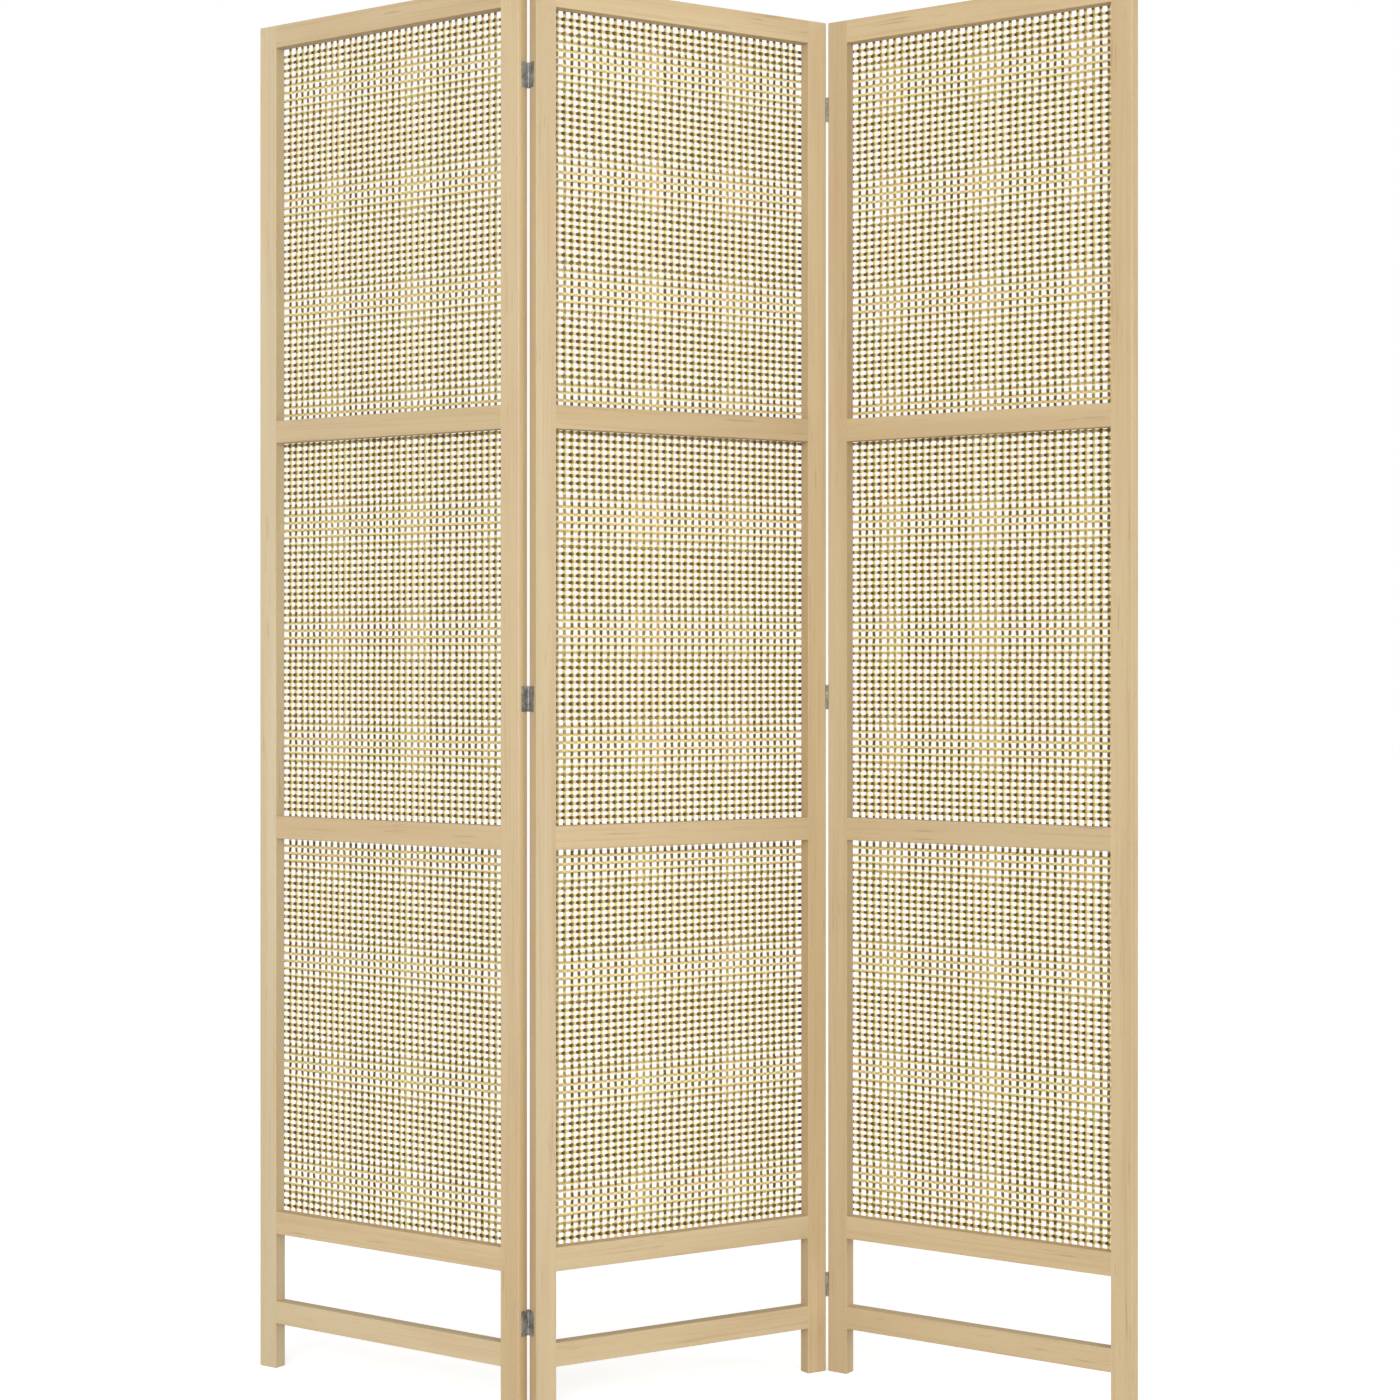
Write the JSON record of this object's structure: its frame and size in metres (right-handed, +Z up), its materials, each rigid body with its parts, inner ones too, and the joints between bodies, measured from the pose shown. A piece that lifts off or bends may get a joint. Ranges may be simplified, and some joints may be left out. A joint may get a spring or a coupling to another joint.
{
  "type": "folding screen",
  "caption": "Freestanding room divider of hinged wooden frames filled with open square rattan weave, folding flat or standing in a zig-zag.",
  "frame": {"origin": "middle of the footprint on the floor, below the centre of the middle panel", "axes": "X along the screen from the left panel to the right panel, -Y towards the side that the ridge hinge points at (the viewer), +Z up"},
  "size_m": [1.1416, 0.255, 1.8],
  "materials": {
    "stile_wood": "pale natural wood, straight grain upright, matt lacquer",
    "rail_wood": "pale natural wood, straight grain along the rail, matt lacquer",
    "dowel_wood": "plain turned beech",
    "rattan": "natural rattan strands in an open square weave, pale straw with darker segments",
    "reed_spline": "plain rattan reed",
    "hinge_steel": "aged grey pressed steel",
    "pin_steel": "plain steel wire",
    "screw_steel": "zinc plated steel"
  },
  "bodies": {
    "panel_middle": {"middle_panel_left_stile": "stile_wood", "middle_panel_right_stile": "stile_wood", "middle_panel_top_rail": "rail_wood", "middle_panel_upper_middle_rail": "rail_wood", "middle_panel_lower_middle_rail": "rail_wood", "middle_panel_bottom_rail": "rail_wood", "middle_panel_leg_stretcher": "rail_wood", "middle_panel_upper_webbing": "rattan", "middle_panel_middle_webbing": "rattan", "middle_panel_lower_webbing": "rattan", "middle_panel_upper_spline": "reed_spline", "middle_panel_middle_spline": "reed_spline", "middle_panel_lower_spline": "reed_spline", "middle_panel_dowels": "dowel_wood", "ridge_hinge_right_leaves": "hinge_steel", "ridge_hinge_right_screws": "screw_steel", "valley_hinge_left_leaves": "hinge_steel", "valley_hinge_pins": "pin_steel", "valley_hinge_left_screws": "screw_steel"},
    "panel_left": {"left_panel_left_stile": "stile_wood", "left_panel_right_stile": "stile_wood", "left_panel_top_rail": "rail_wood", "left_panel_upper_middle_rail": "rail_wood", "left_panel_lower_middle_rail": "rail_wood", "left_panel_bottom_rail": "rail_wood", "left_panel_leg_stretcher": "rail_wood", "left_panel_upper_webbing": "rattan", "left_panel_middle_webbing": "rattan", "left_panel_lower_webbing": "rattan", "left_panel_upper_spline": "reed_spline", "left_panel_middle_spline": "reed_spline", "left_panel_lower_spline": "reed_spline", "left_panel_dowels": "dowel_wood", "ridge_hinge_left_leaves": "hinge_steel", "ridge_hinge_pins": "pin_steel", "ridge_hinge_left_screws": "screw_steel"},
    "panel_right": {"right_panel_left_stile": "stile_wood", "right_panel_right_stile": "stile_wood", "right_panel_top_rail": "rail_wood", "right_panel_upper_middle_rail": "rail_wood", "right_panel_lower_middle_rail": "rail_wood", "right_panel_bottom_rail": "rail_wood", "right_panel_leg_stretcher": "rail_wood", "right_panel_upper_webbing": "rattan", "right_panel_middle_webbing": "rattan", "right_panel_lower_webbing": "rattan", "right_panel_upper_spline": "reed_spline", "right_panel_middle_spline": "reed_spline", "right_panel_lower_spline": "reed_spline", "right_panel_dowels": "dowel_wood", "valley_hinge_right_leaves": "hinge_steel", "valley_hinge_right_screws": "screw_steel"}
  },
  "joints": [
    {"name": "ridge_hinge", "type": "hinge", "parent": "panel_middle", "child": "panel_left", "pos_m": [-0.19081, -0.11245, 0.9], "axis": [0, 0, 1], "range_deg": [-113.8, 66.2]},
    {"name": "valley_hinge", "type": "hinge", "parent": "panel_middle", "child": "panel_right", "pos_m": [0.19081, 0.11245, 0.9], "axis": [0, 0, 1], "range_deg": [-113.8, 66.2]}
  ]
}
